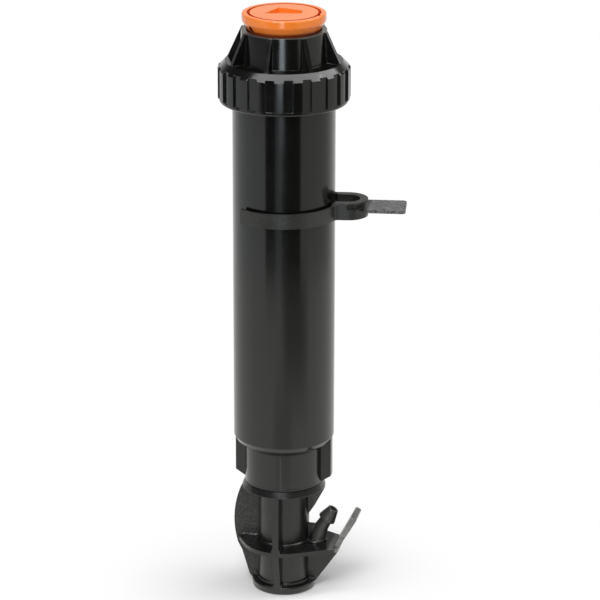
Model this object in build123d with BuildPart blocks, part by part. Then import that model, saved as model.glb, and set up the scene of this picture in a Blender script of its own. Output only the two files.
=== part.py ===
from build123d import *

import os
from math import cos, hypot, radians, sin

# Small pop-up irrigation sprinkler: a base fitting with a hose barb, a tubular body, a collar nut,
# and a spring-retracted riser that carries an orange nozzle. A push-on clip rides on the body.
# Millimetres. The origin is on the main axis at the underside of the base fitting. +Z points up
# and +X points to the side that carries the hose barb. Angles are degrees from +X, seen from above.

# ---------------------------------------------------------------- fits
seat_gap = 0.3        # where a moving piece comes to rest against another
slide_gap = 0.08      # radial, for running and sliding fits
joint_gap = 0.05      # radial, between pieces that are fastened together

# ---------------------------------------------------------------- base fitting
foot_flange_r = 10.3
foot_flange_top_r = 10.6
foot_flange_h = 2.7
foot_edge_radius = 0.6
core_r = 8.3
plate_z = 14.8        # underside of the oval plate
plate_t = 1.4
plate_r = 13.6
plate_nose_reach = 15.2   # towards the back web
tongue_reach = 19.0
tongue_width = 10.6
collar_z = 35.4       # underside of the collar under the threads
collar_rim_h = 0.3
collar_cone_h = 1.8
collar_r = 13.55
collar_top_r = 12.75
web_t = 2.0
root_flare = 0.5      # raised roots of the core and webs, on the plate and on the foot flange
root_rise = 0.7
root_bevel = 0.4
side_web_r = 13.5
side_web_foot_r = 13.3
back_web_top = (14.15, 33.9)      # outline points of the webs are (radius, level)
back_web_bulge = (16.45, 23.8)
back_web_waist = (15.3, 13.8)
back_web_knee = (13.9, 11.1)
back_web_foot = (11.4, 2.7)
front_web_r = 13.5
front_web_corner_z = 34.9
front_web_bend = (10.4, 29.0)
front_web_low = (8.2, 25.6)
tongue_web_corner = (17.9, 12.6)
tongue_web_foot = (10.5, 1.8)
spigot_r = 10.4       # outside of the 1/2 inch pipe thread
spigot_len = 11.4
stake_bore_r = 6.0
stake_bore_depth = 13.0
stake_floor_t = 2.5
chamber_r = 5.5

# ---------------------------------------------------------------- hose barb and guard leaf
barb_lean = 31.0      # from vertical, outward
barb_tip_x = 16.5
barb_tip_z = 27.9
barb_tip_r = 1.75
barb_rim_r = 2.88
barb_rim_back = 4.2   # distances along the barb are counted back from its tip
barb_rim_land = 0.35
barb_neck_r = 1.95
barb_neck_back = 7.2
barb_shank_r = 2.25
barb_root_x = 10.7    # the shank widens to a round root on the plate
barb_root_r = 3.1
barb_bore_r = 1.1
gallery_r = 0.9
gallery_z = 18.0      # level of the cross gallery from the barb to the chamber
barb_web_t = 2.0
barb_web_top = 22.0
leaf_root_x = 18.0
leaf_root_z = 15.7
leaf_lean = 28.9
leaf_len = 12.8
leaf_root_t = 1.5
leaf_tip_t = 2.1
leaf_root_width = 10.2
leaf_tip_width = 9.2
leaf_tip_radius = 0.55

# ---------------------------------------------------------------- threaded socket under the tube
socket_len = 12.6     # from the collar to the joint with the tube
socket_r = 12.6
socket_flare_r = 12.75
socket_seam = 0.25    # open seam over the collar
socket_flare_h = 1.2
washer_t = 1.3
washer_bore_r = 7.6
inlet_r = 7.5
ear_r = 15.8
ear_t = 2.8
ear_drop = 10.2       # from the joint to the ear's outer lower corner
ear_slant = 2.1
valve_seat_h = 0.8
valve_seat_r = 10.4
valve_seat_w = 1.0

# ---------------------------------------------------------------- body tube
tube_r = 16.25
tube_wall = 2.25
tube_len = 122.4      # from the joint with the socket to the open rim
tube_floor_t = 2.6
tube_cone_h = 2.2     # flat cone under the floor
tube_bevel_r = 15.4
tube_bevel_h = 1.5
tube_thread_r = 17.2
tube_thread_len = 5.6
tube_thread_run = 0.9
key_rib_h = 0.8
key_rib_w = 1.5
key_rib_count = 4
key_rib_len = 92.0

# ---------------------------------------------------------------- collar nut
nut_below_rim = 7.4   # how far the skirt reaches below the tube's rim
nut_skirt_h = 13.1    # from the bottom edge to the shelf
nut_ring_r = 20.35    # plain ring under the ribs
nut_ring_h = 1.3
nut_grip_r = 20.8
nut_groove_r = 20.1
nut_groove_count = 22
nut_groove_w = 2.8
nut_groove_angle = -74.1
nut_edge_radius = 0.7
nut_shelf_r = 18.5    # inner edge of the 45 degree bevel
nut_neck_foot_r = 14.1
nut_neck_h = 9.85
nut_neck_r = 13.4
nut_bore_r = 11.9
nut_mouth_chamfer = 0.5
gusset_count = 8
gusset_angle = -51.0
gusset_t = 1.4
gusset_top_r = 13.8
gusset_foot_r = 18.4

# ---------------------------------------------------------------- wiper seal and spring seat
seal_flange_t = 2.0
seal_collar_h = 3.4
seal_lip_t = 1.2
seal_relief = 0.5     # the collar's bore stands this far off the stem, so only the lip wipes
spring_seat_t = 2.0
spring_seat_play = 0.4

# ---------------------------------------------------------------- riser
stem_r = 10.0
stem_wall = 2.0
foot_r = 12.6
foot_t = 2.2
foot_boss_r = 9.0
foot_boss_h = 1.4
foot_serration_count = 24
foot_serration_r = 0.45
drain_seal_t = 2.0
drain_seal_r = 12.0
ratchet_washer_t = 1.9
ratchet_skirt_wall = 0.8
pawl_r = 0.6
pawl_count = 2
pawl_angle = 45.0
spring_wire_r = 0.8
spring_mean_r = 12.0
spring_turns = 13

# ---------------------------------------------------------------- nozzle
cap_r = 13.2
cap_rim_h = 2.3
cap_taper_h = 3.0
cap_entry_r = 11.5    # where the taper enters the nut
cap_skirt_r = 11.3
cap_skirt_len = 6.5
cap_edge_radius = 0.4
cap_crease_radius = 1.0
cap_chamber_r = 9.0
cap_chamber_h = 3.3
cap_boss_r = 4.0
cap_boss_drop = 4.7
stem_engagement = 3.5  # how far the stem reaches up into the nozzle's skirt
disc_r = 10.7
disc_t = 2.0
disc_side_gap = 0.9   # open groove round the disc
spindle_r = 2.2
pointer_depth = 1.45
pointer_corners = [(-5.6, -3.0), (5.9, -0.7), (5.0, 3.2), (-2.8, 5.3)]
index_angle = -10.0
index_len = 1.3
index_width = 1.4
index_depth = 0.5
tick_angle = -140.0   # small mark beside the jet
tick_len = 1.0
tick_width = 0.5
tick_depth = 0.35
jet_angle = -134.0
jet_rise = 12.0       # throw angle above level
jet_z_up = 1.75       # outlet's height above the nut's rim
jet_insert_r = 0.75
jet_recess = 1.0      # the insert sits this deep in its hole
jet_bore_r = 0.45
o_ring_r = 0.5
small_o_ring_r = 0.35
o_ring_groove = 1.2   # width of an O-ring's groove, in diameters of its section
plug_r = 6.5
plug_t = 3.0
plug_flat_r = 4.9

# ---------------------------------------------------------------- filter
collar_flange_t = 1.2
collar_flange_r = 9.8
collar_sleeve_len = 10.0
collar_sleeve_wall = 0.9
screen_len = 30.0
screen_wall = 0.6
screen_columns = 10
screen_rows = 5
screen_window_w = 2.2
screen_window_h = 4.0

# ---------------------------------------------------------------- push-on clip
clip_above_joint = 78.1
clip_h = 4.8          # height of the C
clip_wall = 1.6
clip_relief = 0.75    # step in the bore, so that only the lower part of the C grips
clip_relief_depth = 1.6
clip_angle = 7.0      # direction of the eye
clip_arm_angle = 135.0
clip_root_radius = 1.5
eye_h = 5.4
eye_r = 3.85
eye_wall = 2.55
eye_centre_r = 20.3
eye_recess_depth = 0.9
eye_recess_h = 1.7
tab_reach = 38.7
tab_width = 11.5
tab_t = 1.0
tab_rise = 2.3        # tab's underside above the clip's underside
tab_corner_r = 1.3

# ---------------------------------------------------------------- levels and radii that follow
root_w = web_t + 2 * root_flare
plate_top = plate_z + plate_t
collar_top = collar_z + collar_rim_h + collar_cone_h
joint_z = collar_top + socket_len
spigot_top = collar_top + spigot_len
washer_top = spigot_top + washer_t
socket_bore_r = spigot_r + joint_gap
tube_bore_r = tube_r - tube_wall
ear_root_r = (socket_bore_r + socket_r) / 2
ear_on_bevel = (ear_r - tube_bevel_r) / (tube_r - tube_bevel_r)
ear_top_z = joint_z + tube_cone_h + tube_bevel_h * ear_on_bevel - 2 * joint_gap
tube_floor_z = joint_z + tube_floor_t
tube_top = joint_z + tube_len
key_rib_r = tube_bore_r - key_rib_h
nut_ceiling = tube_top + seal_flange_t
nut_bottom = tube_top - nut_below_rim
nut_ring_top = nut_bottom + nut_ring_h
nut_shelf_z = nut_bottom + nut_skirt_h
nut_bevel_z = nut_shelf_z - (nut_grip_r - nut_shelf_r)
nut_top = nut_shelf_z + nut_neck_h
stem_bore_r = stem_r - stem_wall
drain_seal_z = tube_floor_z + valve_seat_h + seat_gap
foot_z = drain_seal_z + drain_seal_t
foot_top = foot_z + foot_t
ratchet_z = foot_top + seat_gap
ratchet_top = ratchet_z + ratchet_washer_t
spring_seat_z = tube_top - spring_seat_t
cap_taper_top = nut_top + cap_taper_h
cap_top = cap_taper_top + cap_rim_h
cap_skirt_z = nut_top - cap_skirt_len
stem_top = cap_skirt_z + stem_engagement
cap_shoulder_z = stem_top + collar_flange_t + joint_gap
cap_roof_z = cap_shoulder_z + cap_chamber_h
groove_r = disc_r + disc_side_gap / 2
disc_z = cap_top - disc_t
disc_recess_z = disc_z - seat_gap
cap_boss_z = cap_roof_z - cap_boss_drop
plug_top = cap_boss_z - seat_gap
collar_sleeve_z = stem_top - collar_sleeve_len
collar_bore_r = stem_bore_r - joint_gap - collar_sleeve_wall
screen_top = plug_top - plug_t - seat_gap
screen_r = collar_bore_r - joint_gap
clip_z = joint_z + clip_above_joint
clip_bore_r = tube_r + slide_gap


def radial_plane(angle):
    """Vertical plane through the main axis: local x points outward at this angle, local y is up."""
    turn = radians(angle)
    return Plane(origin=(0, 0, 0), x_dir=(cos(turn), sin(turn), 0), z_dir=(sin(turn), -cos(turn), 0))


def finish(piece, name):
    """Labels a finished piece and writes it to its own file."""
    piece.part.label = name
    export_step(piece.part, f"parts/{name}.step")


os.makedirs("parts", exist_ok=True)

# ================================================================ base fitting
barb_rise = cos(radians(barb_lean))
barb_run = sin(radians(barb_lean))
barb_tip = (barb_tip_x, 0, barb_tip_z)
barb_plane = Plane(origin=barb_tip, x_dir=(-barb_rise, 0, barb_run), z_dir=(0, 1, 0))
barb_axis = Axis(barb_tip, (barb_run, 0, barb_rise))
barb_shank_start = (barb_tip_x - barb_neck_back * barb_run, 0, barb_tip_z - barb_neck_back * barb_rise)
barb_back_to_gallery = (barb_tip_z - gallery_z) / barb_rise
gallery_x = barb_tip_x - barb_back_to_gallery * barb_run
leaf_run = sin(radians(leaf_lean))
leaf_rise = cos(radians(leaf_lean))
leaf_plane = Plane(
    origin=(leaf_root_x, 0, leaf_root_z),
    x_dir=(leaf_rise, 0, -leaf_run),
    z_dir=(leaf_run, 0, leaf_rise),
)

with BuildPart() as inlet_adapter:
    # Foot flange, core, collar and threaded spigot in one turned shape.
    with BuildSketch(Plane.XZ):
        with BuildLine():
            Polyline(
                (0, 0),
                (foot_flange_r, 0),
                (foot_flange_top_r, foot_flange_h),
                (core_r, foot_flange_h),
                (core_r, collar_z),
                (collar_r, collar_z),
                (collar_r, collar_z + collar_rim_h),
                (collar_top_r, collar_top),
                (spigot_r, collar_top),
                (spigot_r, spigot_top),
                (0, spigot_top),
                close=True,
            )
        make_face()
    revolve(axis=Axis.Z)
    foot_edges = inlet_adapter.edges().filter_by(GeomType.CIRCLE).group_by(Axis.Z)
    fillet(
        [foot_edges[0].sort_by(SortBy.RADIUS)[-1], foot_edges[1].sort_by(SortBy.RADIUS)[-1]],
        radius=foot_edge_radius,
    )
    # Oval plate that runs out into the tongue, with a nose at the back web.
    with BuildSketch(Plane.XY.offset(plate_z)):
        Circle(plate_r)
        with Locations((tongue_reach, 0)):
            Rectangle(plate_t, tongue_width, align=(Align.MAX, Align.CENTER))
        with Locations((-plate_nose_reach, 0)):
            Rectangle(plate_t, web_t, align=(Align.MIN, Align.CENTER))
        make_hull()
    extrude(amount=plate_t)
    # Webs above the plate, on the two sides.
    with BuildSketch(radial_plane(90), radial_plane(-90)):
        with BuildLine():
            Polyline(
                (chamber_r, plate_z),
                (side_web_r, plate_z),
                (side_web_r, collar_z + collar_rim_h / 2),
                (chamber_r, collar_z + collar_rim_h / 2),
                close=True,
            )
        make_face()
    extrude(amount=web_t / 2, both=True)
    # Bulging web at the back, which runs on past the plate down to the foot.
    with BuildSketch(radial_plane(180)):
        with BuildLine():
            bulge = ThreePointArc(back_web_top, back_web_bulge, back_web_waist)
            Polyline(
                bulge @ 1,
                back_web_knee,
                back_web_foot,
                (foot_flange_r, foot_flange_h / 2),
                (stake_bore_r, foot_flange_h / 2),
                (stake_bore_r, collar_z + collar_rim_h / 2),
                (collar_r - collar_rim_h, collar_z + collar_rim_h / 2),
                bulge @ 0,
            )
        make_face()
    extrude(amount=web_t / 2, both=True)
    # Short web under the collar, on the barb's side.
    with BuildSketch(radial_plane(0)):
        with BuildLine():
            Polyline(
                (chamber_r, collar_z),
                (front_web_r, collar_z),
                (front_web_r, front_web_corner_z),
                front_web_bend,
                front_web_low,
                (chamber_r, front_web_low[1]),
                close=True,
            )
        make_face()
    extrude(amount=web_t / 2, both=True)
    # Webs below the plate, which narrow to the foot flange.
    with BuildSketch(radial_plane(90), radial_plane(-90)):
        with BuildLine():
            Polyline(
                (stake_bore_r, foot_flange_h / 2),
                (foot_flange_r, foot_flange_h / 2),
                (side_web_foot_r, plate_z),
                (stake_bore_r, plate_z),
                close=True,
            )
        make_face()
    extrude(amount=web_t / 2, both=True)
    with BuildSketch(radial_plane(0)):
        with BuildLine():
            Polyline(
                (stake_bore_r, tongue_web_foot[1]),
                tongue_web_foot,
                tongue_web_corner,
                (tongue_reach - root_flare / 2, plate_z),
                (stake_bore_r, plate_z),
                close=True,
            )
        make_face()
    extrude(amount=web_t / 2, both=True)
    # Raised roots of the core, the webs and the barb, on the plate and on the foot flange. Each
    # rises straight and ends in a 45 degree bevel.
    for start, rise, taper in ((0, root_rise, 0), (root_rise, root_bevel, 45)):
        with BuildSketch(Plane.XY.offset(plate_top + start)):
            Circle(core_r + root_flare)
            Rectangle(root_w, 2 * side_web_r)
            Rectangle(plate_r + root_flare, root_w, align=(Align.MAX, Align.CENTER))
            with Locations((barb_root_x, 0)):
                Circle(barb_root_r + root_flare)
        extrude(amount=rise, taper=taper)
        with BuildSketch(Plane.XY.offset(foot_flange_h + start)):
            Circle(core_r + root_flare)
            Rectangle(root_w, 2 * foot_flange_r)
            Rectangle(2 * foot_flange_r, root_w)
        extrude(amount=rise, taper=taper)
    # Guard leaf, which leans out from the tongue and thickens to a rounded tip.
    with BuildSketch(leaf_plane):
        Rectangle(leaf_root_t, leaf_root_width)
    with BuildSketch(leaf_plane.offset(leaf_len)):
        Rectangle(leaf_tip_t, leaf_tip_width)
    loft()
    leaf_tip = inlet_adapter.faces().sort_by_distance(leaf_plane.offset(leaf_len).origin)[0]
    fillet(leaf_tip.edges().filter_by(Axis.Y), radius=leaf_tip_radius)
    # Thin web that ties the barb to the core.
    with BuildSketch(Plane.XZ):
        with BuildLine():
            Polyline(
                (chamber_r, plate_z),
                (barb_root_x, plate_z),
                (barb_tip_x - (barb_tip_z - barb_web_top) * barb_run / barb_rise, barb_web_top),
                (chamber_r, barb_web_top),
                close=True,
            )
        make_face()
    extrude(amount=barb_web_t / 2, both=True)
    # Shank that widens to a round root on the plate.
    with BuildSketch(Plane(origin=barb_shank_start, z_dir=(barb_run, 0, barb_rise))):
        Circle(barb_shank_r)
    with BuildSketch(Plane.XY.offset(plate_z + plate_t / 2)):
        with Locations((barb_root_x, 0)):
            Circle(barb_root_r)
    loft()
    # The barb itself, turned about its own leaning axis. Local y runs from the tip outward.
    with BuildSketch(barb_plane):
        with BuildLine():
            Polyline(
                (0, 0),
                (barb_tip_r, 0),
                (barb_rim_r, barb_rim_land - barb_rim_back),
                (barb_rim_r, -barb_rim_back),
                (barb_neck_r, -barb_rim_back),
                (barb_shank_r, -barb_neck_back),
                (0, -barb_neck_back),
                close=True,
            )
        make_face()
    revolve(axis=barb_axis)
    # Water way: barb bore, cross gallery and chamber.
    with Locations(Plane(origin=barb_tip, z_dir=(-barb_run, 0, -barb_rise))):
        Cylinder(
            barb_bore_r,
            barb_back_to_gallery + gallery_r,
            align=(Align.CENTER, Align.CENTER, Align.MIN),
            mode=Mode.SUBTRACT,
        )
    with Locations(Plane(origin=(0, 0, gallery_z), z_dir=(1, 0, 0))):
        Cylinder(
            gallery_r,
            gallery_x,
            align=(Align.CENTER, Align.CENTER, Align.MIN),
            mode=Mode.SUBTRACT,
        )
    with BuildSketch(Plane.XY.offset(stake_bore_depth + stake_floor_t)):
        Circle(chamber_r)
    extrude(amount=spigot_top - stake_bore_depth - stake_floor_t, mode=Mode.SUBTRACT)
    # Blind socket for a ground stake.
    with BuildSketch(Plane.XY):
        Circle(stake_bore_r)
    extrude(amount=stake_bore_depth, mode=Mode.SUBTRACT)
finish(inlet_adapter, "inlet_adapter")

# ================================================================ threaded socket with its two ears
with BuildPart() as inlet_socket:
    with BuildSketch(Plane.XZ):
        with BuildLine():
            Polyline(
                (socket_bore_r, collar_top + socket_seam),
                (socket_flare_r, collar_top + socket_seam),
                (socket_r, collar_top + socket_seam + socket_flare_h),
                (socket_r, tube_floor_z),
                (valve_seat_r, tube_floor_z),
                (valve_seat_r, tube_floor_z + valve_seat_h),
                (valve_seat_r - valve_seat_w, tube_floor_z + valve_seat_h),
                (valve_seat_r - valve_seat_w, tube_floor_z),
                (inlet_r, tube_floor_z),
                (inlet_r, washer_top),
                (socket_bore_r, washer_top),
                close=True,
            )
        make_face()
    revolve(axis=Axis.Z)
    with BuildSketch(radial_plane(0), radial_plane(180)):
        with BuildLine():
            Polyline(
                (ear_root_r, joint_z - ear_drop - ear_slant),
                (socket_r, joint_z - ear_drop - ear_slant),
                (ear_r, joint_z - ear_drop),
                (ear_r, ear_top_z),
                (tube_bevel_r, joint_z + tube_cone_h - joint_gap),
                (socket_r, joint_z - joint_gap),
                (ear_root_r, joint_z - joint_gap),
                close=True,
            )
        make_face()
    extrude(amount=ear_t / 2, both=True)
finish(inlet_socket, "inlet_socket")

with BuildPart() as thread_washer:
    with BuildSketch(Plane.XY.offset(spigot_top)):
        Circle(spigot_r - joint_gap)
        Circle(washer_bore_r, mode=Mode.SUBTRACT)
    extrude(amount=washer_t)
finish(thread_washer, "thread_washer")

# ================================================================ body tube
with BuildPart() as body_tube:
    with BuildSketch(Plane.XZ):
        with BuildLine():
            Polyline(
                (socket_r + joint_gap, joint_z),
                (tube_bevel_r, joint_z + tube_cone_h),
                (tube_r, joint_z + tube_cone_h + tube_bevel_h),
                (tube_r, tube_top - tube_thread_len - tube_thread_run),
                (tube_thread_r, tube_top - tube_thread_len),
                (tube_thread_r, tube_top),
                (tube_bore_r, tube_top),
                (tube_bore_r, tube_floor_z),
                (socket_r + joint_gap, tube_floor_z),
                close=True,
            )
        make_face()
    revolve(axis=Axis.Z)
    # Ribs inside the bore keep the ratchet ring from turning.
    with BuildSketch(Plane.XY.offset(tube_floor_z)):
        with PolarLocations(key_rib_r, key_rib_count):
            Rectangle(key_rib_h + tube_wall / 2, key_rib_w, align=(Align.MIN, Align.CENTER))
    extrude(amount=key_rib_len)
finish(body_tube, "body_tube")

# ================================================================ collar nut
with BuildPart() as top_nut:
    with BuildSketch(Plane.XZ):
        with BuildLine():
            Polyline(
                (tube_thread_r + slide_gap, nut_bottom),
                (nut_ring_r, nut_bottom),
                (nut_ring_r, nut_ring_top),
                (nut_grip_r, nut_ring_top),
                (nut_grip_r, nut_bevel_z),
                (nut_shelf_r, nut_shelf_z),
                (nut_neck_foot_r, nut_shelf_z),
                (nut_neck_r, nut_top),
                (nut_bore_r, nut_top),
                (nut_bore_r, nut_ceiling),
                (tube_thread_r + slide_gap, nut_ceiling),
                close=True,
            )
        make_face()
    revolve(axis=Axis.Z)
    outer_bottom = top_nut.edges().filter_by(GeomType.CIRCLE).group_by(Axis.Z)[0].sort_by(SortBy.RADIUS)
    fillet(outer_bottom[-1], radius=nut_edge_radius)
    chamfer(outer_bottom[0], length=nut_mouth_chamfer)
    # Gussets from the neck out to the bevel.
    with BuildSketch(*[radial_plane(gusset_angle + 360 / gusset_count * k) for k in range(gusset_count)]):
        with BuildLine():
            Polyline(
                ((nut_bore_r + nut_neck_r) / 2, nut_top),
                (gusset_top_r, nut_top),
                (gusset_foot_r, nut_shelf_z),
                (gusset_foot_r, nut_shelf_z - gusset_t),
                ((nut_bore_r + nut_neck_r) / 2, nut_shelf_z - gusset_t),
                close=True,
            )
        make_face()
    extrude(amount=gusset_t / 2, both=True)
    # Finger grooves round the grip, down to the plain ring.
    with BuildSketch(Plane.XY.offset(nut_ring_top)):
        with PolarLocations(nut_groove_r, nut_groove_count, start_angle=nut_groove_angle):
            Rectangle(nut_grip_r, nut_groove_w, align=(Align.MIN, Align.CENTER))
    extrude(amount=nut_top - nut_ring_top, mode=Mode.SUBTRACT)
finish(top_nut, "top_nut")

# ================================================================ wiper seal and spring seat
with BuildPart() as wiper_seal:
    with BuildSketch(Plane.XZ):
        with BuildLine():
            Polyline(
                (stem_r + seal_relief, tube_top),
                (tube_thread_r, tube_top),
                (tube_thread_r, nut_ceiling),
                (nut_bore_r - joint_gap, nut_ceiling),
                (nut_bore_r - joint_gap, nut_ceiling + seal_collar_h),
                (stem_r + slide_gap, nut_ceiling + seal_collar_h),
                (stem_r + slide_gap, nut_ceiling + seal_collar_h - seal_lip_t),
                (stem_r + seal_relief, nut_ceiling + seal_collar_h - 2 * seal_lip_t),
                close=True,
            )
        make_face()
    revolve(axis=Axis.Z)
finish(wiper_seal, "wiper_seal")

with BuildPart() as spring_seat:
    with BuildSketch(Plane.XY.offset(spring_seat_z)):
        Circle(tube_bore_r - joint_gap)
        Circle(stem_r + spring_seat_play, mode=Mode.SUBTRACT)
    extrude(amount=spring_seat_t)
finish(spring_seat, "spring_seat")

# ================================================================ riser stem with its foot
with BuildPart() as riser_stem:
    with BuildSketch(Plane.XZ):
        with BuildLine():
            Polyline(
                (stem_bore_r, foot_z - foot_boss_h),
                (foot_boss_r, foot_z - foot_boss_h),
                (foot_boss_r, foot_z),
                (foot_r, foot_z),
                (foot_r, foot_top),
                (stem_r, foot_top),
                (stem_r, stem_top),
                (stem_bore_r, stem_top),
                close=True,
            )
        make_face()
    revolve(axis=Axis.Z)
    # Serrations round the foot, for the ratchet.
    with BuildSketch(Plane.XY.offset(foot_z)):
        with PolarLocations(foot_r, foot_serration_count):
            Circle(foot_serration_r)
    extrude(amount=foot_t, mode=Mode.SUBTRACT)
    # Groove for the O-ring under the nozzle's skirt.
    o_ring_z = (cap_skirt_z + stem_top) / 2
    with BuildSketch(Plane.XZ):
        with Locations((stem_r, o_ring_z)):
            Rectangle(2 * o_ring_r, 2 * o_ring_r * o_ring_groove, align=(Align.MAX, Align.CENTER))
    revolve(axis=Axis.Z, mode=Mode.SUBTRACT)
finish(riser_stem, "riser_stem")

with BuildPart() as nozzle_o_ring:
    with Locations((0, 0, o_ring_z)):
        Torus(stem_r - o_ring_r + joint_gap / 2, o_ring_r)
finish(nozzle_o_ring, "nozzle_o_ring")

with BuildPart() as drain_seal:
    with BuildSketch(Plane.XY.offset(drain_seal_z)):
        Circle(drain_seal_r)
        Circle(foot_boss_r + joint_gap, mode=Mode.SUBTRACT)
    extrude(amount=drain_seal_t)
finish(drain_seal, "drain_seal")

# ================================================================ ratchet ring, keyed to the tube's ribs
ratchet_r = tube_bore_r - seat_gap
ratchet_skirt_r = ratchet_r - ratchet_skirt_wall
with BuildPart() as ratchet_ring:
    with BuildSketch(Plane.XY.offset(ratchet_z)):
        Circle(ratchet_r)
        Circle(stem_r + slide_gap, mode=Mode.SUBTRACT)
    extrude(amount=ratchet_washer_t)
    with BuildSketch(Plane.XY.offset(foot_z)):
        Circle(ratchet_r)
        Circle(ratchet_skirt_r, mode=Mode.SUBTRACT)
    extrude(amount=ratchet_z - foot_z)
    # Two pawl bumps inside the skirt, just clear of the serration crests.
    with BuildSketch(Plane.XY.offset(foot_z)):
        with PolarLocations(foot_r + slide_gap + pawl_r, pawl_count, start_angle=pawl_angle):
            Circle(pawl_r)
    extrude(amount=ratchet_z - foot_z)
    with BuildSketch(Plane.XY.offset(foot_z)):
        with PolarLocations(key_rib_r - seat_gap, key_rib_count):
            Rectangle(tube_wall, key_rib_w + 2 * seat_gap, align=(Align.MIN, Align.CENTER))
    extrude(amount=ratchet_top - foot_z, mode=Mode.SUBTRACT)
finish(ratchet_ring, "ratchet_ring")

# ================================================================ return spring
spring_low = ratchet_top + slide_gap + spring_wire_r
spring_high = spring_seat_z - slide_gap - spring_wire_r
spring_pitch = (spring_high - spring_low) / spring_turns
with BuildPart() as return_spring:
    with BuildLine():
        coil = Helix(spring_pitch, spring_high - spring_low, spring_mean_r, center=(0, 0, spring_low))
    with BuildSketch(Plane(origin=coil @ 0, z_dir=coil % 0)):
        Circle(spring_wire_r)
    sweep(path=coil, is_frenet=True)
finish(return_spring, "return_spring")

# ================================================================ filter under the nozzle
with BuildPart() as filter_collar:
    with BuildSketch(Plane.XY.offset(stem_top)):
        Circle(collar_flange_r)
    extrude(amount=collar_flange_t)
    with BuildSketch(Plane.XY.offset(collar_sleeve_z)):
        Circle(stem_bore_r - joint_gap)
    extrude(amount=collar_sleeve_len)
    with BuildSketch(Plane.XY.offset(collar_sleeve_z)):
        Circle(collar_bore_r)
    extrude(amount=collar_sleeve_len + collar_flange_t, mode=Mode.SUBTRACT)
finish(filter_collar, "filter_collar")

with BuildPart() as filter_screen:
    with BuildSketch(Plane.XY.offset(screen_top - screen_len)):
        Circle(screen_r)
    extrude(amount=screen_len)
    with BuildSketch(Plane.XY.offset(screen_top - screen_len + screen_wall)):
        Circle(screen_r - screen_wall)
    extrude(amount=screen_len - screen_wall, mode=Mode.SUBTRACT)
    # Rows of windows in the wall, below the collar.
    window_pitch = (collar_sleeve_z - screen_top + screen_len) / screen_rows
    for row in range(screen_rows):
        row_z = screen_top - screen_len + (row + 0.5) * window_pitch
        with BuildSketch(Plane.XY.offset(row_z)):
            with PolarLocations(0, screen_columns):
                Rectangle(2 * screen_r, screen_window_w, align=(Align.MIN, Align.CENTER))
        extrude(amount=screen_window_h / 2, both=True, mode=Mode.SUBTRACT)
finish(filter_screen, "filter_screen")

# ================================================================ nozzle body
jet_turn = radians(jet_angle)
jet_up = radians(jet_rise)
jet_exit_r = cap_entry_r + (cap_r - cap_entry_r) * jet_z_up / cap_taper_h
jet_exit = (jet_exit_r * cos(jet_turn), jet_exit_r * sin(jet_turn), nut_top + jet_z_up)
jet_inward = (-cos(jet_up) * cos(jet_turn), -cos(jet_up) * sin(jet_turn), -sin(jet_up))
jet_plane = Plane(origin=jet_exit, z_dir=jet_inward)
jet_len = (jet_exit_r - cap_chamber_r) / cos(jet_up)

with BuildPart() as nozzle_body:
    with BuildSketch(Plane.XZ):
        with BuildLine():
            Polyline(
                (stem_r + joint_gap, cap_skirt_z),
                (cap_skirt_r, cap_skirt_z),
                (cap_entry_r, nut_top),
                (cap_r, cap_taper_top),
                (cap_r, cap_top),
                (disc_r + disc_side_gap, cap_top),
                (disc_r + disc_side_gap, disc_recess_z),
                (spindle_r + slide_gap, disc_recess_z),
                (spindle_r + slide_gap, cap_boss_z),
                (cap_boss_r, cap_boss_z),
                (cap_boss_r, cap_roof_z),
                (cap_chamber_r, cap_roof_z),
                (cap_chamber_r, cap_shoulder_z),
                (stem_r + joint_gap, cap_shoulder_z),
                close=True,
            )
        make_face()
    revolve(axis=Axis.Z)
    rim = nozzle_body.edges().filter_by(GeomType.CIRCLE).group_by(Axis.Z)[-1].sort_by(SortBy.RADIUS)
    fillet(rim[-1], radius=cap_edge_radius)
    crease = nozzle_body.edges().filter_by(GeomType.CIRCLE).filter_by_position(
        Axis.Z, cap_taper_top - joint_gap, cap_taper_top + joint_gap
    )
    fillet(crease.sort_by(SortBy.RADIUS)[-1], radius=cap_crease_radius)
    # Seat for the jet insert, which slants up to the taper.
    with Locations(jet_plane):
        Cylinder(
            jet_insert_r + joint_gap,
            3 * jet_len,
            mode=Mode.SUBTRACT,
        )
    # Index notch and small tick in the rim, at the groove round the disc.
    with BuildSketch(Plane.XY.offset(cap_top)):
        with PolarLocations(groove_r, 1, start_angle=index_angle):
            Rectangle(index_len, index_width, align=(Align.MIN, Align.CENTER))
    extrude(amount=-index_depth, mode=Mode.SUBTRACT)
    with BuildSketch(Plane.XY.offset(cap_top)):
        with PolarLocations(groove_r, 1, start_angle=tick_angle):
            Rectangle(tick_len, tick_width, align=(Align.MIN, Align.CENTER))
    extrude(amount=-tick_depth, mode=Mode.SUBTRACT)
finish(nozzle_body, "nozzle_body")

with BuildPart() as jet_insert:
    with Locations(jet_plane):
        Cylinder(jet_insert_r, 2 * jet_len)
        Cylinder(jet_bore_r, 2 * jet_len, mode=Mode.SUBTRACT)
    # Its outer end is cut off parallel to the taper.
    with BuildSketch(Plane.XZ):
        with BuildLine():
            Polyline(
                (0, cap_skirt_z),
                (cap_skirt_r - jet_recess, cap_skirt_z),
                (cap_entry_r - jet_recess, nut_top),
                (cap_r - jet_recess, cap_taper_top),
                (0, cap_taper_top),
                close=True,
            )
        make_face()
    revolve(axis=Axis.Z, mode=Mode.INTERSECT)
finish(jet_insert, "jet_insert")

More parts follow.
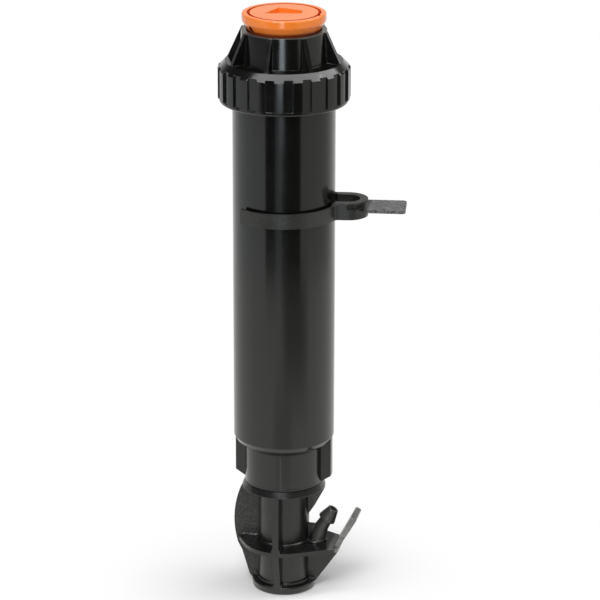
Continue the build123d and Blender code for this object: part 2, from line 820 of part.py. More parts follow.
# ================================================================ flow disc, its O-ring and throttle plug
spindle_o_ring_z = (cap_boss_z + disc_recess_z) / 2
with BuildPart() as flow_disc:
    with BuildSketch(Plane.XY.offset(disc_z)):
        Circle(disc_r)
    extrude(amount=disc_t)
    with BuildSketch(Plane.XY.offset(plug_top - plug_t / 2)):
        Circle(spindle_r)
    extrude(amount=disc_z - plug_top + plug_t / 2)
    # Pointer-shaped recess, which shows the setting and takes the lifting key.
    with BuildSketch(Plane.XY.offset(cap_top)):
        with BuildLine():
            Polyline(*pointer_corners, close=True)
        make_face()
    extrude(amount=-pointer_depth, mode=Mode.SUBTRACT)
    with BuildSketch(Plane.XZ):
        with Locations((spindle_r, spindle_o_ring_z)):
            Rectangle(
                2 * small_o_ring_r,
                2 * small_o_ring_r * o_ring_groove,
                align=(Align.MAX, Align.CENTER),
            )
    revolve(axis=Axis.Z, mode=Mode.SUBTRACT)
finish(flow_disc, "flow_disc")

with BuildPart() as disc_o_ring:
    with Locations((0, 0, spindle_o_ring_z)):
        Torus(spindle_r - small_o_ring_r + joint_gap / 2, small_o_ring_r)
finish(disc_o_ring, "disc_o_ring")

with BuildPart() as throttle_plug:
    with BuildSketch(Plane.XY.offset(plug_top - plug_t)):
        Circle(plug_r)
    extrude(amount=plug_t)
    with BuildSketch(Plane.XY.offset(plug_top - plug_t / 2)):
        Circle(spindle_r + joint_gap)
    extrude(amount=plug_t / 2, mode=Mode.SUBTRACT)
    # Flats that let the water past when the disc is turned to open.
    with BuildSketch(Plane.XY.offset(plug_top - plug_t)):
        with PolarLocations(plug_flat_r, 2, start_angle=90):
            Rectangle(plug_r, 2 * plug_r, align=(Align.MIN, Align.CENTER))
    extrude(amount=plug_t, mode=Mode.SUBTRACT)
finish(throttle_plug, "throttle_plug")

# ================================================================ push-on clip
clip_r = clip_bore_r + clip_wall
eye_outer_r = eye_r + eye_wall
clip_turn = radians(clip_angle)
eye_direction = Vector(cos(clip_turn), sin(clip_turn), 0)
with BuildPart() as tube_clip:
    clip_base = Plane(origin=(0, 0, clip_z), x_dir=eye_direction)
    # The C, with its mouth opposite the eye.
    with BuildSketch(clip_base):
        Circle(clip_r)
        with BuildLine():
            mouth_reach = 2 * clip_r
            mouth_half = radians(clip_arm_angle)
            Polyline(
                (0, 0),
                (mouth_reach * cos(mouth_half), mouth_reach * sin(mouth_half)),
                (mouth_reach * cos(mouth_half), -mouth_reach * sin(mouth_half)),
                close=True,
            )
        make_face(mode=Mode.SUBTRACT)
    extrude(amount=clip_h)
    # Eye that stands out from the ring, blended into its outside.
    with BuildSketch(clip_base):
        with Locations((eye_centre_r, 0)):
            Circle(eye_outer_r)
            Rectangle(eye_centre_r, 2 * eye_outer_r, align=(Align.MAX, Align.CENTER))
    extrude(amount=eye_h)
    upright_edges = tube_clip.edges().filter_by(Axis.Z)
    ring_edges = upright_edges.filter_by(
        lambda e: abs(hypot(e.center().X, e.center().Y) - clip_r) < joint_gap
    )
    fillet(ring_edges.sort_by(lambda e: e.center().dot(eye_direction))[-2:], radius=clip_root_radius)
    # Bore with its upper step, and the slot of the eye.
    with BuildSketch(clip_base):
        Circle(clip_bore_r)
        with Locations((eye_centre_r, 0)):
            Circle(eye_r)
            Rectangle(eye_centre_r, 2 * eye_r, align=(Align.MAX, Align.CENTER))
    extrude(amount=eye_h, mode=Mode.SUBTRACT)
    with BuildSketch(clip_base.offset(clip_h - clip_relief_depth)):
        Circle(clip_bore_r + clip_relief)
    extrude(amount=eye_h - clip_h + clip_relief_depth, mode=Mode.SUBTRACT)
    # Shallow recess round the eye's end, above the tab.
    with BuildSketch(clip_base.offset(tab_rise + tab_t)):
        with Locations((eye_centre_r, 0)):
            Circle(eye_outer_r)
            Circle(eye_outer_r - eye_recess_depth, mode=Mode.SUBTRACT)
            Rectangle(
                2 * eye_outer_r,
                4 * eye_outer_r,
                align=(Align.MAX, Align.CENTER),
                mode=Mode.SUBTRACT,
            )
    extrude(amount=eye_recess_h, mode=Mode.SUBTRACT)
    # Finger tab.
    with BuildSketch(clip_base.offset(tab_rise)):
        tab_start = eye_centre_r + eye_r + eye_wall / 2
        with Locations((tab_start, 0)):
            tab = Rectangle(tab_reach - tab_start, tab_width, align=(Align.MIN, Align.CENTER))
        far_corners = tab.vertices().sort_by_distance(Vector(0, 0, 0))
        fillet(far_corners[-2:], radius=tab_corner_r)
        # Inner end follows the eye.
        with Locations((eye_centre_r, 0)):
            Circle(eye_r + eye_wall / 2, mode=Mode.SUBTRACT)
    extrude(amount=tab_t)
finish(tube_clip, "tube_clip")
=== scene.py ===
import math

import bpy
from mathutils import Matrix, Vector


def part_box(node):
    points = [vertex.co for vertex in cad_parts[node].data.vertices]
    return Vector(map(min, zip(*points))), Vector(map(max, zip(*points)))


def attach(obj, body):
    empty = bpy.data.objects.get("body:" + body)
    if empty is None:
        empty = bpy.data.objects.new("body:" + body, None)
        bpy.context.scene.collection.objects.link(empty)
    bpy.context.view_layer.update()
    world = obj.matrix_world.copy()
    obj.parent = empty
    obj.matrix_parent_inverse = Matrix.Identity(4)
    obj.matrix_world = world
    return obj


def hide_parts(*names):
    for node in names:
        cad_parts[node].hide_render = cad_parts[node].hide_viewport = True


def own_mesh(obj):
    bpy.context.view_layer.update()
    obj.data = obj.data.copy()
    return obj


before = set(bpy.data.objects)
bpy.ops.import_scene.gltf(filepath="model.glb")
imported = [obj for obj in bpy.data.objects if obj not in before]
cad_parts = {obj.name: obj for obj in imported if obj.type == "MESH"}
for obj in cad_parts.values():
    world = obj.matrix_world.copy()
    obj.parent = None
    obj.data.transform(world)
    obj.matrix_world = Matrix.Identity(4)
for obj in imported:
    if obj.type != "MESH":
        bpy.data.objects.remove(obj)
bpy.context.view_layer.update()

# Looks for a small pop-up irrigation sprinkler. Metres, +Z up, +X towards the hose barb.
# The pieces keep their CAD shapes, some with softly rounded edges, and get procedural materials. Only the
# return spring is a copy, because it shortens as the riser lifts.

MM = 0.001

# ---------------------------------------------------------------- camera
CAMERA_AZIMUTH = math.radians(-78.0)     # the way from the object to the camera, from +X
CAMERA_PITCH = math.radians(19.07)       # downward
CAMERA_DISTANCE = 0.9556
CAMERA_AIM_Z = 0.0989
CAMERA_SENSOR = 36.0
CAMERA_LENS = 179.05
CAMERA_SHIFT_X = 0.0266
CAMERA_NEAR = 0.01
CAMERA_FAR = 20.0


def make_camera():
    """Creates the camera at the reference view and makes it the scene's camera."""
    data = bpy.data.cameras.new("camera")
    data.sensor_width = CAMERA_SENSOR
    data.lens = CAMERA_LENS
    data.shift_x = CAMERA_SHIFT_X
    data.clip_start = CAMERA_NEAR
    data.clip_end = CAMERA_FAR
    camera = bpy.data.objects.new("camera", data)
    bpy.context.scene.collection.objects.link(camera)
    level = CAMERA_DISTANCE * math.cos(CAMERA_PITCH)
    away = Vector((
        level * math.cos(CAMERA_AZIMUTH),
        level * math.sin(CAMERA_AZIMUTH),
        CAMERA_DISTANCE * math.sin(CAMERA_PITCH),
    ))
    camera.location = Vector((0, 0, CAMERA_AIM_Z)) + away
    camera.rotation_euler = (-away).to_track_quat("-Z", "Y").to_euler()
    bpy.context.scene.camera = camera


# ---------------------------------------------------------------- node helpers
def new_material(name):
    """An empty node material with its Principled shader and output."""
    material = bpy.data.materials.new(name)
    material.use_nodes = True
    nodes = material.node_tree.nodes
    nodes.clear()
    shader = nodes.new("ShaderNodeBsdfPrincipled")
    output = nodes.new("ShaderNodeOutputMaterial")
    material.node_tree.links.new(shader.outputs["BSDF"], output.inputs["Surface"])
    return material, shader


def coordinate(tree, name="Object"):
    """A texture coordinate. The object's own is in metres, in the CAD frame."""
    return tree.nodes.new("ShaderNodeTexCoord").outputs[name]


def axes(tree, name="Object"):
    """The x, y and z of a texture coordinate."""
    split = tree.nodes.new("ShaderNodeSeparateXYZ")
    tree.links.new(coordinate(tree, name), split.inputs["Vector"])
    return [split.outputs[axis] for axis in "XYZ"]


def math_node(tree, operation, *values):
    """A math node fed with sockets or plain numbers. Gives its result."""
    node = tree.nodes.new("ShaderNodeMath")
    node.operation = operation
    for slot, value in zip(node.inputs, values):
        if isinstance(value, (int, float)):
            slot.default_value = value
        else:
            tree.links.new(value, slot)
    return node.outputs["Value"]


def product(tree, *masks):
    """All the masks multiplied together."""
    result = masks[0]
    for mask in masks[1:]:
        result = math_node(tree, "MULTIPLY", result, mask)
    return result


def vector_node(tree, operation, vector, other=None):
    """A vector math node. Gives its outputs, Vector and Value."""
    node = tree.nodes.new("ShaderNodeVectorMath")
    node.operation = operation
    tree.links.new(vector, node.inputs[0])
    if other is not None:
        node.inputs[1].default_value = other
    return node.outputs


def direction(tree, name, level=False):
    """Unit vector of a texture coordinate. Level leaves out its height."""
    vector = coordinate(tree, name)
    if level:
        vector = vector_node(tree, "MULTIPLY", vector, (1, 1, 0))["Vector"]
    return vector_node(tree, "NORMALIZE", vector)["Vector"]


def dot_with(tree, vector, azimuth):
    """Dot product of a vector with the level direction at this azimuth."""
    return vector_node(tree, "DOT_PRODUCT", vector, (math.cos(azimuth), math.sin(azimuth), 0))["Value"]


def map_range(tree, value, over, gives=(0.0, 1.0), smooth=True):
    """Goes from the first result to the second while the value goes over the stretch. Holds at both ends."""
    node = tree.nodes.new("ShaderNodeMapRange")
    node.interpolation_type = "SMOOTHSTEP" if smooth else "LINEAR"
    node.inputs["From Min"].default_value = over[0]
    node.inputs["From Max"].default_value = over[1]
    node.inputs["To Min"].default_value = gives[0]
    node.inputs["To Max"].default_value = gives[1]
    tree.links.new(value, node.inputs["Value"])
    return node.outputs["Result"]


def fade_out(tree, value, over, smooth=True):
    """Mask that is 1 before the stretch and 0 past it."""
    return map_range(tree, value, over, gives=(1.0, 0.0), smooth=smooth)


def near_point(tree, point, inner, outer):
    """Mask that is 1 within the inner distance of a point and 0 past the outer one."""
    away = vector_node(tree, "DISTANCE", coordinate(tree), point)["Value"]
    return fade_out(tree, away, over=(inner, outer))


def colour_ramp(tree, value, low, high, over=(0.3, 0.7)):
    """Blends from one colour to another while the value goes over the stretch."""
    node = tree.nodes.new("ShaderNodeValToRGB")
    for element, place, colour in zip(node.color_ramp.elements, over, (low, high)):
        element.position = place
        element.color = (*colour, 1)
    tree.links.new(value, node.inputs["Fac"])
    return node.outputs["Color"]


def noise(tree, scale, detail=3.0, stretch=(1, 1, 1), roughness=0.5):
    """Noise of a real size, in the object's own coordinates: the scale is per metre. Gives its factor."""
    mapping = tree.nodes.new("ShaderNodeMapping")
    mapping.inputs["Scale"].default_value = stretch
    texture = tree.nodes.new("ShaderNodeTexNoise")
    texture.inputs["Scale"].default_value = scale
    texture.inputs["Detail"].default_value = detail
    texture.inputs["Roughness"].default_value = roughness
    tree.links.new(coordinate(tree), mapping.inputs["Vector"])
    tree.links.new(mapping.outputs["Vector"], texture.inputs["Vector"])
    return texture.outputs["Fac"]


def mix_shaders(tree, mask, where_0, where_1):
    """Mixes two shaders by a mask. Gives the result."""
    mix = tree.nodes.new("ShaderNodeMixShader")
    tree.links.new(mask, mix.inputs["Fac"])
    tree.links.new(where_0, mix.inputs[1])
    tree.links.new(where_1, mix.inputs[2])
    return mix.outputs["Shader"]


def ray_masks(tree):
    """Gives a mask for rays from the camera, and one for rays that were mirrored or went through glass."""
    rays = tree.nodes.new("ShaderNodeLightPath").outputs
    mirrored = math_node(tree, "MAXIMUM", rays["Is Glossy Ray"], rays["Is Transmission Ray"])
    return rays["Is Camera Ray"], mirrored


# ---------------------------------------------------------------- layers over a plastic
PLASTIC_IOR = 1.55


def add_bump(tree, shader, height, strength, depth):
    """Adds a bump layer over what bump the shader already has."""
    bump = tree.nodes.new("ShaderNodeBump")
    bump.inputs["Strength"].default_value = strength
    bump.inputs["Distance"].default_value = depth
    tree.links.new(height, bump.inputs["Height"])
    below = shader.inputs["Normal"].links
    if below:
        tree.links.new(below[0].from_socket, bump.inputs["Normal"])
    tree.links.new(bump.outputs["Normal"], shader.inputs["Normal"])


def tint_where(tree, shader, mask, colour):
    """Gives the shader's base colour another colour where the mask is 1."""
    mix = tree.nodes.new("ShaderNodeMix")
    mix.data_type = "RGBA"
    tree.links.new(mask, mix.inputs["Factor"])
    tree.links.new(shader.inputs["Base Color"].links[0].from_socket, mix.inputs["A"])
    mix.inputs["B"].default_value = (*colour, 1)
    tree.links.new(mix.outputs["Result"], shader.inputs["Base Color"])


def parting_line(tree, shader, azimuth, half_width, depth, colour):
    """Fine raised and scuffed mould line in the upright plane through the main axis at this azimuth."""
    turn = math.radians(azimuth)
    level_normal = (math.sin(turn), -math.cos(turn), 0)
    across = vector_node(tree, "DOT_PRODUCT", coordinate(tree), level_normal)["Value"]
    line = fade_out(tree, math_node(tree, "ABSOLUTE", across), over=(0.0, half_width))
    add_bump(tree, shader, line, strength=1.0, depth=depth)
    tint_where(tree, shader, line, colour)


def moulded_plastic(name, colours, roughness, grain_scale, grain_depth, flow_depth=0.0):
    """Injection-moulded plastic: mottled colour, uneven gloss, fine grain and faint flow lines along Z."""
    material, shader = new_material(name)
    tree = material.node_tree
    cloud = noise(tree, scale=90.0)
    smudge = noise(tree, scale=260.0, detail=5.0)
    grain = noise(tree, grain_scale, detail=2.0)
    uneven_gloss = map_range(tree, smudge, over=(0.3, 0.7), gives=roughness, smooth=False)
    tree.links.new(colour_ramp(tree, cloud, *colours), shader.inputs["Base Color"])
    tree.links.new(uneven_gloss, shader.inputs["Roughness"])
    add_bump(tree, shader, grain, strength=0.6, depth=grain_depth)
    if flow_depth:
        flow_lines = noise(tree, scale=700.0, detail=2.0, stretch=(1, 1, 0.04))
        add_bump(tree, shader, flow_lines, strength=0.5, depth=flow_depth)
    shader.inputs["IOR"].default_value = PLASTIC_IOR
    return material, shader


# ---------------------------------------------------------------- floor
# Reaches are distances from the main axis. Turns are the cosine of the angle from an azimuth.
FRONT_AZIMUTH = CAMERA_AZIMUTH - math.radians(2.5)         # the middle of the room's dark front
DARK_SIDE_AZIMUTH = CAMERA_AZIMUTH + math.radians(24.0)    # the middle of the floor's dim far part
FLOOR_RADIUS = 0.345
FLOOR_SIDES = 128
FLOOR_ROUGHNESS = 0.6
FLOOR_WHITES = ((0.86, 0.86, 0.86), (0.89, 0.89, 0.89))
FLOOR_IN_GLOSS = ((0.99, 1.0, 0.955), (0.36, 0.37, 0.33))  # where it isn't dim, and where it is
CAMERA_FADE_REACH = (0.01, 0.065)
FAR_DIM_REACH = (0.15, 0.27)
FAR_DIM_TURN = (0.8, 0.985)
FAR_DIM_ELSEWHERE = 0.08
NEAR_DIM_STARTS = (0.08, 0.14)
NEAR_DIM_ENDS = (0.17, 0.25)
NEAR_DIM_TURN = (0.9, 0.995)
NEAR_DIM_MOST = 0.5
NEAR_DIM_LEFT_OVER = 0.35


def gloss_dimming(tree, reach):
    """Mask for where gloss sees the floor dim: a far part beside the front, and a near patch in front."""
    heading = direction(tree, "Object")
    beside_front = dot_with(tree, heading, DARK_SIDE_AZIMUTH)
    in_front = dot_with(tree, heading, FRONT_AZIMUTH)
    far_dim = product(
        tree,
        map_range(tree, reach, over=FAR_DIM_REACH),
        map_range(tree, beside_front, over=FAR_DIM_TURN, gives=(FAR_DIM_ELSEWHERE, 1.0)),
    )
    near_dim = product(
        tree,
        map_range(tree, reach, over=NEAR_DIM_STARTS, gives=(0.0, NEAR_DIM_MOST)),
        map_range(tree, reach, over=NEAR_DIM_ENDS, gives=(1.0, NEAR_DIM_LEFT_OVER)),
        map_range(tree, in_front, over=NEAR_DIM_TURN),
    )
    return math_node(tree, "MAXIMUM", far_dim, near_dim)


def make_floor():
    """Round white table top that the sprinkler stands on. It keeps the shadow close to the object and fades
    to white for the camera. Gloss sees it pale too, and dimmer outward where the room in front is dark."""
    bpy.ops.mesh.primitive_circle_add(
        vertices=FLOOR_SIDES, radius=FLOOR_RADIUS, fill_type="NGON", location=(0, 0, 0))
    floor = bpy.context.object
    floor.name = "floor"
    material, shader = new_material("floor_white")
    tree = material.node_tree
    whites = colour_ramp(tree, noise(tree, scale=40.0), *FLOOR_WHITES)
    tree.links.new(whites, shader.inputs["Base Color"])
    shader.inputs["Roughness"].default_value = FLOOR_ROUGHNESS

    reach = vector_node(tree, "LENGTH", coordinate(tree))["Value"]
    to_camera, mirrored = ray_masks(tree)
    colour = tree.nodes.new("ShaderNodeMix")
    colour.data_type = "RGBA"
    in_gloss = colour_ramp(tree, gloss_dimming(tree, reach), *FLOOR_IN_GLOSS, over=(0.0, 1.0))
    tree.links.new(to_camera, colour.inputs["Factor"])
    tree.links.new(in_gloss, colour.inputs["A"])
    colour.inputs["B"].default_value = (1, 1, 1, 1)
    glow = tree.nodes.new("ShaderNodeEmission")
    tree.links.new(colour.outputs["Result"], glow.inputs["Color"])
    faded = product(tree, map_range(tree, reach, over=CAMERA_FADE_REACH), to_camera)
    glowing = math_node(tree, "MAXIMUM", faded, mirrored)
    surface = mix_shaders(tree, glowing, shader.outputs["BSDF"], glow.outputs["Emission"])
    tree.links.new(surface, tree.nodes["Material Output"].inputs["Surface"])
    floor.data.materials.append(material)


# ---------------------------------------------------------------- world
# Heights are the sine of the elevation. Turns are the cosine of the angle from the front, seen from above.
LEFT_CARD = (0.78, 0.22)                 # strength low down, and higher up
LEFT_CARD_HEIGHTS = (-0.27, -0.13)
RIGHT_CARD = 0.58
CARDS_MEET = (-0.7, 0.7)                 # from all left card to all right card, on the way across
CARD_EDGE_TURN = (0.79, 0.75)            # from the dark front to the cards
DARK_FRONT = 0.045
CEILING_HEIGHTS = (0.05, 0.36)
CEILING_DIMS_TO = 0.22
LEFT_TINT = (0.95, 1.0, 0.97)
RIGHT_TINT = (1.0, 0.985, 0.92)
BACKDROP_TURN = (-0.3, -0.95)
BACKDROP_HEIGHTS = (0.05, 0.45)


def make_world():
    """White for the camera, and for gloss where the white backdrop stands, behind the object. Elsewhere a
    studio: grey cards at the sides, dark in front and towards the ceiling."""
    world = bpy.data.worlds.new("room")
    bpy.context.scene.world = world
    world.use_nodes = True
    tree = world.node_tree
    tree.nodes.clear()
    level = direction(tree, "Generated", level=True)
    ahead = dot_with(tree, level, FRONT_AZIMUTH)
    aside = dot_with(tree, level, FRONT_AZIMUTH + math.pi / 2)
    up = axes(tree, "Generated")[2]

    left_card = map_range(tree, up, over=LEFT_CARD_HEIGHTS, gives=LEFT_CARD)
    rightward = map_range(tree, aside, over=CARDS_MEET)
    to_right = product(tree, rightward, math_node(tree, "SUBTRACT", RIGHT_CARD, left_card))
    card = math_node(tree, "ADD", left_card, to_right)
    cards = product(tree, card, map_range(tree, ahead, over=CARD_EDGE_TURN))
    walls = math_node(tree, "ADD", cards, DARK_FRONT)
    ceiling = map_range(tree, up, over=CEILING_HEIGHTS, gives=(1.0, CEILING_DIMS_TO))
    across = map_range(tree, aside, over=(-1.0, 1.0), smooth=False)
    room = tree.nodes.new("ShaderNodeBackground")
    tint = colour_ramp(tree, across, LEFT_TINT, RIGHT_TINT, over=(0.2, 0.8))
    tree.links.new(tint, room.inputs["Color"])
    tree.links.new(product(tree, walls, ceiling), room.inputs["Strength"])

    white = tree.nodes.new("ShaderNodeBackground")
    white.inputs["Color"].default_value = (1, 1, 1, 1)
    to_camera, mirrored = ray_masks(tree)
    behind = map_range(tree, ahead, over=BACKDROP_TURN)
    below_ceiling = fade_out(tree, up, over=BACKDROP_HEIGHTS)
    backdrop = product(tree, mirrored, behind, below_ceiling)
    is_white = math_node(tree, "MAXIMUM", to_camera, backdrop)
    surface = mix_shaders(tree, is_white, room.outputs["Background"], white.outputs["Background"])
    output = tree.nodes.new("ShaderNodeOutputWorld")
    tree.links.new(surface, output.inputs["Surface"])


# ---------------------------------------------------------------- light panels
PANEL_AIM_Z = 0.1
PANEL_WHITE = (1, 1, 1)
PANEL_COOL = (0.85, 0.93, 1.0)


def make_panel(name, azimuth, distance, height, width, tall, power, colour=PANEL_WHITE):
    """Soft light panel that faces the object's middle. Azimuth is in degrees from the camera's side."""
    data = bpy.data.lights.new(name, "AREA")
    data.shape = "RECTANGLE"
    data.size = width
    data.size_y = tall
    data.energy = power
    data.color = colour
    lamp = bpy.data.objects.new(name, data)
    bpy.context.scene.collection.objects.link(lamp)
    turn = CAMERA_AZIMUTH + math.radians(azimuth)
    lamp.location = (distance * math.cos(turn), distance * math.sin(turn), height)
    towards = Vector((0, 0, PANEL_AIM_Z)) - lamp.location
    lamp.rotation_euler = towards.to_track_quat("-Z", "Y").to_euler()
    lamp.visible_camera = False


def make_panels():
    """Soft panels above, beside and in front, and two strips that draw highlights down the front."""
    make_panel("overhead", azimuth=7, distance=0.15, height=1.2, width=1.85, tall=0.45, power=9.8)
    make_panel("window", azimuth=109, distance=0.97, height=1.05, width=0.8, tall=0.5, power=5.0)
    make_panel("key", azimuth=-16, distance=0.75, height=0.85, width=0.45, tall=0.45, power=7.5)
    make_panel(
        "strip", azimuth=-5, distance=1.0, height=0.165, width=0.21, tall=0.5, power=1.45, colour=PANEL_COOL)
    make_panel(
        "low_strip", azimuth=-12, distance=1.0, height=-0.155, width=0.26, tall=0.14, power=0.045,
        colour=PANEL_COOL)


# ---------------------------------------------------------------- plastics, rubber and steel
DEEP_BLACK = (0.0025, 0.0026, 0.0024)
NUT_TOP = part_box("top_nut")[1][2]


def make_tube_plastic():
    """Smooth glossy black with faint flow lines."""
    return moulded_plastic(
        "body_black", colours=(DEEP_BLACK, (0.0036, 0.0036, 0.0033)), roughness=(0.12, 0.17),
        grain_scale=2500.0, grain_depth=0.004 * MM, flow_depth=0.006 * MM)[0]


def make_socket_plastic():
    """Black with a mould line down the front and the back."""
    material, shader = moulded_plastic(
        "socket_black", colours=(DEEP_BLACK, (0.0045, 0.0045, 0.004)), roughness=(0.16, 0.24),
        grain_scale=3000.0, grain_depth=0.008 * MM)
    parting_line(
        material.node_tree, shader, azimuth=-83.0, half_width=0.5 * MM, depth=0.03 * MM,
        colour=(0.022, 0.022, 0.021))
    return material


def make_nut_plastic():
    """Glossy black, with a painted highlight along the neck's top rim."""
    material, shader = moulded_plastic(
        "nut_black", colours=(DEEP_BLACK, (0.004, 0.004, 0.0037)), roughness=(0.12, 0.18),
        grain_scale=3000.0, grain_depth=0.008 * MM)
    tree = material.node_tree
    height = axes(tree)[2]
    # Painted highlight: the neck's top rim is painted paler, where its edge would catch the light.
    rim_highlight = (NUT_TOP - 0.35 * MM, NUT_TOP - 0.1 * MM)
    tint_where(tree, shader, map_range(tree, height, over=rim_highlight), colour=(0.055, 0.053, 0.05))
    return material


def make_nozzle_plastic():
    """Orange, with painted shade in the groove round the flow disc, from the foot of the taper down and
    in the jet's mouth."""
    material, shader = moulded_plastic(
        "nozzle_orange", colours=((0.79, 0.185, 0.02), (0.85, 0.215, 0.027)), roughness=(0.13, 0.19),
        grain_scale=3000.0, grain_depth=0.006 * MM)
    tree = material.node_tree
    x, y, height = axes(tree)
    out = math_node(tree, "SQRT", math_node(tree, "ADD", product(tree, x, x), product(tree, y, y)))

    # Painted shade: the groove round the flow disc is painted darker.
    groove_width = 0.9 * MM
    disc_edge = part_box("flow_disc")[1][0]
    rim_inner = disc_edge + groove_width
    groove_starts = (disc_edge - 0.15 * MM, disc_edge - 0.01 * MM)
    groove_ends = (rim_inner + 0.01 * MM, rim_inner + 0.15 * MM)
    groove_shade = product(
        tree, map_range(tree, out, over=groove_starts), fade_out(tree, out, over=groove_ends))
    tint_where(tree, shader, groove_shade, colour=(0.75, 0.11, 0.012))

    # Painted shade: from the foot of the taper down, where it goes into the nut, the orange is painted dark.
    taper_foot_shade = (NUT_TOP + 0.4 * MM, NUT_TOP + 1.3 * MM)
    tint_where(tree, shader, fade_out(tree, height, over=taper_foot_shade), colour=(0.22, 0.033, 0.004))

    # Painted shade: round the jet's mouth the orange is painted dark, as a shadowed hole.
    mouth_ahead = 1.5 * MM
    jet_low, jet_high = (Vector(corner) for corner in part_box("jet_insert"))
    jet_middle = (jet_low + jet_high) / 2
    outward = Vector((jet_middle.x, jet_middle.y, 0)).normalized()
    mouth_shade = near_point(tree, jet_middle + outward * mouth_ahead, inner=1.0 * MM, outer=1.25 * MM)
    tint_where(tree, shader, mouth_shade, colour=(0.12, 0.018, 0.003))
    return material


def make_clip_plastic():
    """Dark mottled grey, with a coarse surface and a painted sheen on the finger tab."""
    material, shader = moulded_plastic(
        "clip_grey", colours=((0.009, 0.0095, 0.008), (0.015, 0.0155, 0.0135)), roughness=(0.3, 0.4),
        grain_scale=5000.0, grain_depth=0.012 * MM)
    tree = material.node_tree
    mottle = map_range(tree, noise(tree, scale=1900.0, detail=4.0), over=(0.45, 0.65), gives=(0.0, 0.7))
    tint_where(tree, shader, mottle, colour=(0.026, 0.0265, 0.022))

    # Painted sheen: the finger tab is painted paler in coarse patches, which also bump its surface.
    tab_length = 12.2 * MM
    tab_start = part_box("tube_clip")[1][0] - tab_length
    tab_root = (tab_start, tab_start + 0.4 * MM)
    on_tab = map_range(tree, axes(tree)[0], over=tab_root)
    coarse = noise(tree, scale=1100.0, detail=5.0, roughness=0.65)
    tab_grain_and_sheen = product(tree, on_tab, map_range(tree, coarse, over=(0.4, 0.56), gives=(0.1, 1.0)))
    add_bump(tree, shader, tab_grain_and_sheen, strength=0.8, depth=0.06 * MM)
    tint_where(tree, shader, tab_grain_and_sheen, colour=(0.13, 0.13, 0.13))
    return material


def make_fitting_plastic():
    """Satin black with a fine mould line, a painted highlight on the barb, painted highlights on the guard
    leaf and a painted reflection on the tongue, and a coarse sparkling surface on the web opposite the barb."""
    material, shader = moulded_plastic(
        "fitting_black", colours=((0.0045, 0.0047, 0.0042), (0.007, 0.0072, 0.0063)), roughness=(0.26, 0.38),
        grain_scale=4000.0, grain_depth=0.02 * MM)
    tree = material.node_tree
    parting_line(
        tree, shader, azimuth=-81.0, half_width=0.12 * MM, depth=0.06 * MM, colour=(0.012, 0.012, 0.011))
    x, y, height = axes(tree)
    beside = math_node(tree, "ABSOLUTE", y)

    # Painted highlight: the barb is painted paler.
    barb_root = (9.6 * MM, 10.2 * MM)
    barb_underside = (17.0 * MM, 17.4 * MM)
    barb_side = (3.1 * MM, 3.3 * MM)
    barb_highlight = product(
        tree,
        map_range(tree, x, over=barb_root, smooth=False),
        map_range(tree, height, over=barb_underside, smooth=False),
        fade_out(tree, beside, over=barb_side, smooth=False),
    )
    tint_where(tree, shader, barb_highlight, colour=(0.034, 0.033, 0.03))

    # Painted highlight: the guard leaf's edge and tip are painted pale in patches.
    leaf_root = (17.6 * MM, 18.6 * MM)
    leaf_side = (4.1 * MM, 4.5 * MM)
    leaf_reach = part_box("inlet_adapter")[1][0]
    leaf_tip = (leaf_reach - 3.4 * MM, leaf_reach - 2.0 * MM)
    leaf_edge = product(tree, map_range(tree, x, over=leaf_root), map_range(tree, beside, over=leaf_side))
    leaf_end = map_range(tree, x, over=leaf_tip, gives=(0.0, 0.75))
    blotches = noise(tree, scale=900.0, detail=4.0)
    sheen_patches = map_range(tree, blotches, over=(0.35, 0.6), gives=(0.55, 1.0), smooth=False)
    leaf_highlight = product(tree, math_node(tree, "MAXIMUM", leaf_edge, leaf_end), sheen_patches)
    tint_where(tree, shader, leaf_highlight, colour=(0.17, 0.17, 0.16))

    # Painted reflection: the tongue's top is painted paler in patches.
    plate_top = 16.2 * MM
    tongue_root = (15.2 * MM, 16.4 * MM)
    from_below = (plate_top - 0.25 * MM, plate_top - 0.1 * MM)
    from_above = (plate_top + 0.1 * MM, plate_top + 0.4 * MM)
    tongue_top = product(
        tree,
        map_range(tree, x, over=tongue_root),
        map_range(tree, height, over=from_below),
        fade_out(tree, height, over=from_above),
    )
    tint_where(tree, shader, product(tree, tongue_top, sheen_patches), colour=(0.1, 0.1, 0.095))

    web_side = (-9.0 * MM, -8.0 * MM)
    pits = map_range(tree, noise(tree, scale=1300.0, detail=3.0), over=(0.42, 0.62))
    coarse_web = product(tree, pits, fade_out(tree, x, over=web_side))
    add_bump(tree, shader, coarse_web, strength=0.9, depth=0.12 * MM)
    tint_where(tree, shader, coarse_web, colour=(0.02, 0.02, 0.018))
    return material


def make_rubber():
    """Matt black seal rubber."""
    return moulded_plastic(
        "seal_rubber", colours=((0.012, 0.012, 0.012), (0.02, 0.02, 0.02)), roughness=(0.6, 0.75),
        grain_scale=5000.0, grain_depth=0.02 * MM)[0]


def make_natural_plastic():
    """Undyed plastic of the pieces inside."""
    return moulded_plastic(
        "natural_plastic", colours=((0.7, 0.69, 0.64), (0.76, 0.75, 0.7)), roughness=(0.35, 0.45),
        grain_scale=3000.0, grain_depth=0.01 * MM)[0]


def make_steel():
    """Drawn spring wire: uneven gloss and fine grain as on the plastics, but metal."""
    material, shader = moulded_plastic(
        "spring_steel", colours=((0.55, 0.55, 0.55), (0.65, 0.65, 0.65)), roughness=(0.25, 0.35),
        grain_scale=3000.0, grain_depth=0.004 * MM)
    shader.inputs["Metallic"].default_value = 1.0
    return material


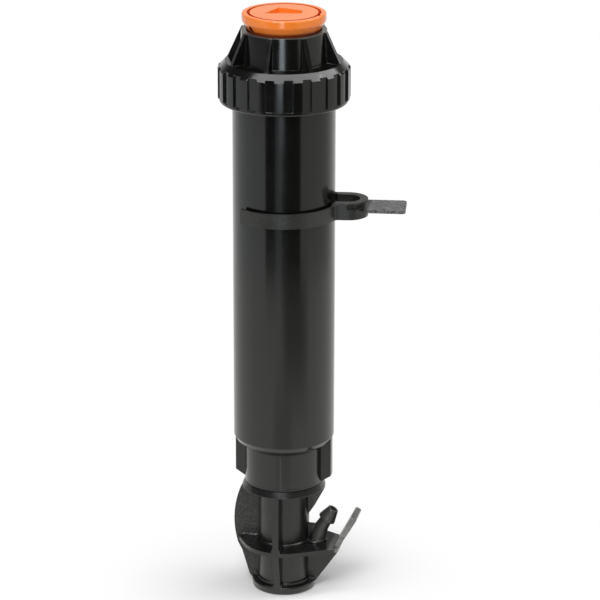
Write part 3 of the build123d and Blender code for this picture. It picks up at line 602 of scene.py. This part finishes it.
# ---------------------------------------------------------------- work on the CAD nodes
EDGE_WIDTHS = {
    "top_nut": 0.2 * MM,
    "nozzle_body": 0.15 * MM,
    "flow_disc": 0.12 * MM,
    "inlet_adapter": 0.18 * MM,
    "inlet_socket": 0.18 * MM,
    "tube_clip": 0.15 * MM,
}
SHARP_EDGE = math.radians(40)      # the least turn between two faces that gets rounded
EDGE_SEGMENTS = 2
MERGE_DISTANCE = 0.002 * MM
FLAT_FACE_WEIGHT = 90


def paint(material, *names):
    """Gives CAD nodes a material."""
    for name in names:
        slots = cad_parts[name].data.materials
        slots.clear()
        slots.append(material)


def soften(node, width):
    """Rounds a CAD node's sharp edges for the light to catch, without touching its own mesh."""
    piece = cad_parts[node]
    weld = piece.modifiers.new("weld", "WELD")
    weld.merge_threshold = MERGE_DISTANCE
    bevel = piece.modifiers.new("soft_edges", "BEVEL")
    bevel.width = width
    bevel.segments = EDGE_SEGMENTS
    bevel.limit_method = "ANGLE"
    bevel.angle_limit = SHARP_EDGE
    even = piece.modifiers.new("even_normals", "WEIGHTED_NORMAL")
    even.mode = "FACE_AREA_WITH_ANGLE"
    even.weight = FLAT_FACE_WEIGHT


def make_return_coil():
    """The return spring as a piece of its own, which shortens towards its seat as the riser lifts."""
    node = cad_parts["return_spring"]
    coil = bpy.data.objects.new("return_coil", node.data.copy())
    coil.matrix_world = node.matrix_world.copy()
    bpy.context.scene.collection.objects.link(coil)
    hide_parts("return_spring")
    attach(coil, "housing")
    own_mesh(coil)


# ---------------------------------------------------------------- the scene
make_camera()
make_world()
make_floor()
make_panels()

paint(make_tube_plastic(), "body_tube", "riser_stem", "jet_insert")
paint(make_nut_plastic(), "top_nut")
paint(make_socket_plastic(), "inlet_socket")
paint(make_fitting_plastic(), "inlet_adapter")
paint(make_clip_plastic(), "tube_clip")
paint(make_nozzle_plastic(), "nozzle_body", "flow_disc")
paint(make_rubber(), "wiper_seal", "thread_washer", "drain_seal", "nozzle_o_ring", "disc_o_ring")
paint(make_natural_plastic(),
      "spring_seat", "ratchet_ring", "filter_collar", "filter_screen", "throttle_plug")
paint(make_steel(), "return_spring")
make_return_coil()

for node, width in EDGE_WIDTHS.items():
    soften(node, width)

bpy.context.scene.view_settings.view_transform = "Standard"
bpy.context.view_layer.update()
